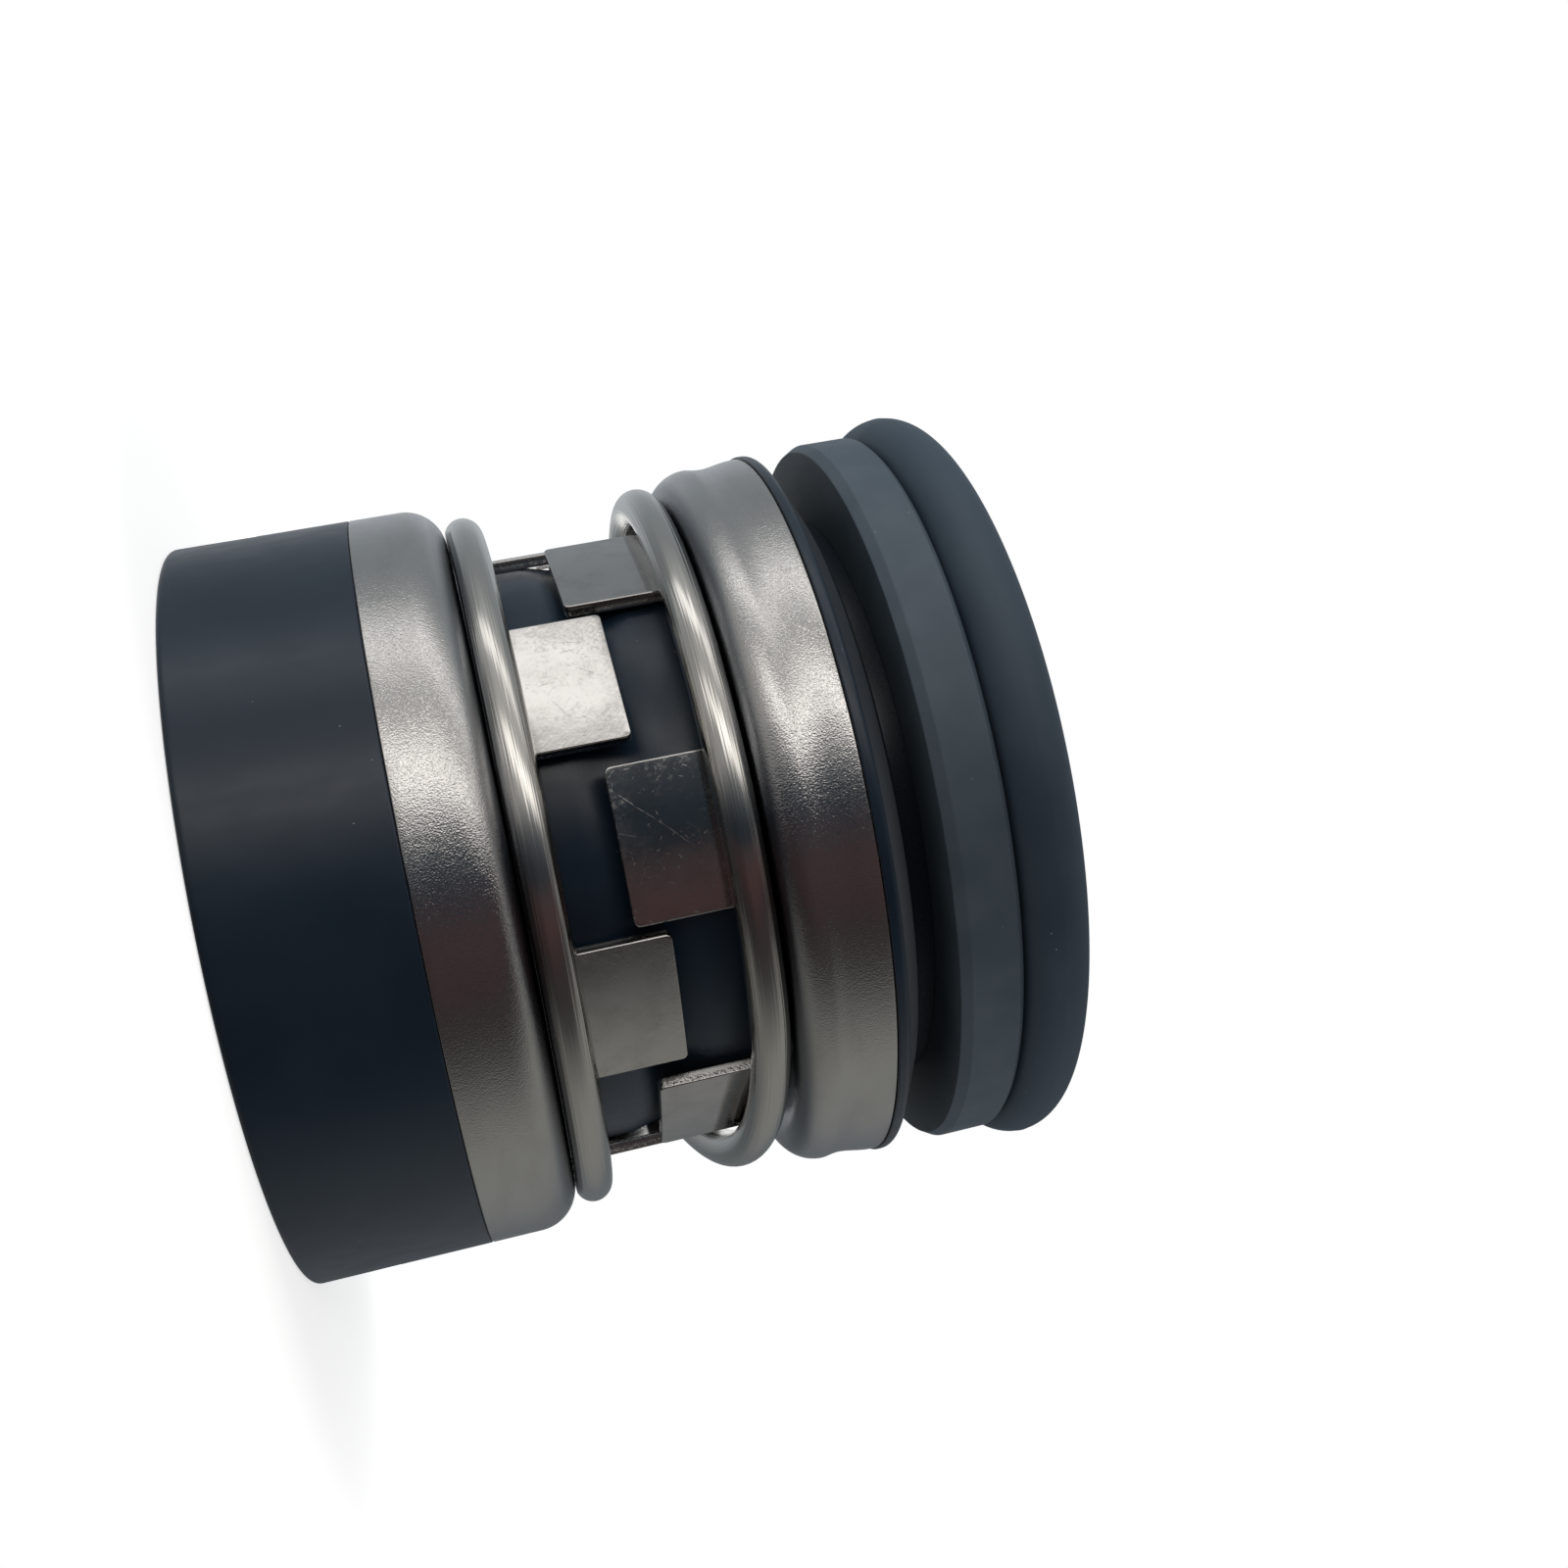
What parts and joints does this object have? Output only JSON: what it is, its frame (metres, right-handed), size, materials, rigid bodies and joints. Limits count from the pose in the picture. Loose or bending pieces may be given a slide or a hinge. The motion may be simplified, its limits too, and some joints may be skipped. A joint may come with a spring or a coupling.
{
  "type": "mechanical seal",
  "caption": "Rotary shaft seal: rubber bellows head with a coil spring between two tabbed steel shells, a sealing ring, and a stationary seat ring with its O-ring.",
  "frame": {"origin": "centre of the flat end face of the rubber tail, on the shaft's axis", "axes": "+Z along the shaft from the tail through the sealing face to the seat's back; -Y faces the picture's camera and -X is up in the picture"},
  "size_m": [0.0582, 0.0582, 0.0573],
  "materials": {
    "bellows_rubber": "satin moulded rubber, blue-black",
    "stamped_steel": "satin stamped stainless sheet",
    "spring_wire": "bright drawn stainless wire",
    "sealing_carbon": "dark satin carbon-like ring",
    "seat_carbide": "matt blue-grey sintered carbide",
    "o_ring_rubber": "matt rubber"
  },
  "bodies": {
    "drive_unit": {"bellows": "bellows_rubber", "drive_band": "stamped_steel", "spring": "spring_wire"},
    "head": {"retainer": "stamped_steel", "primary_ring": "sealing_carbon"},
    "seat": {"seat_ring": "seat_carbide", "seat_o_ring": "o_ring_rubber"}
  },
  "joints": [
    {"name": "head_travel", "type": "slide", "parent": "drive_unit", "child": "head", "axis": [0, 0, 1], "range_m": [-0.004, 0], "stiffness_N_per_m": 5000, "springref_m": 0.001, "deforming": ["spring", "bellows"]},
    {"name": "seat_spin", "type": "hinge", "parent": "head", "child": "seat", "pos_m": [0, 0, 0.052], "axis": [0, 0, 1], "continuous": true}
  ]
}
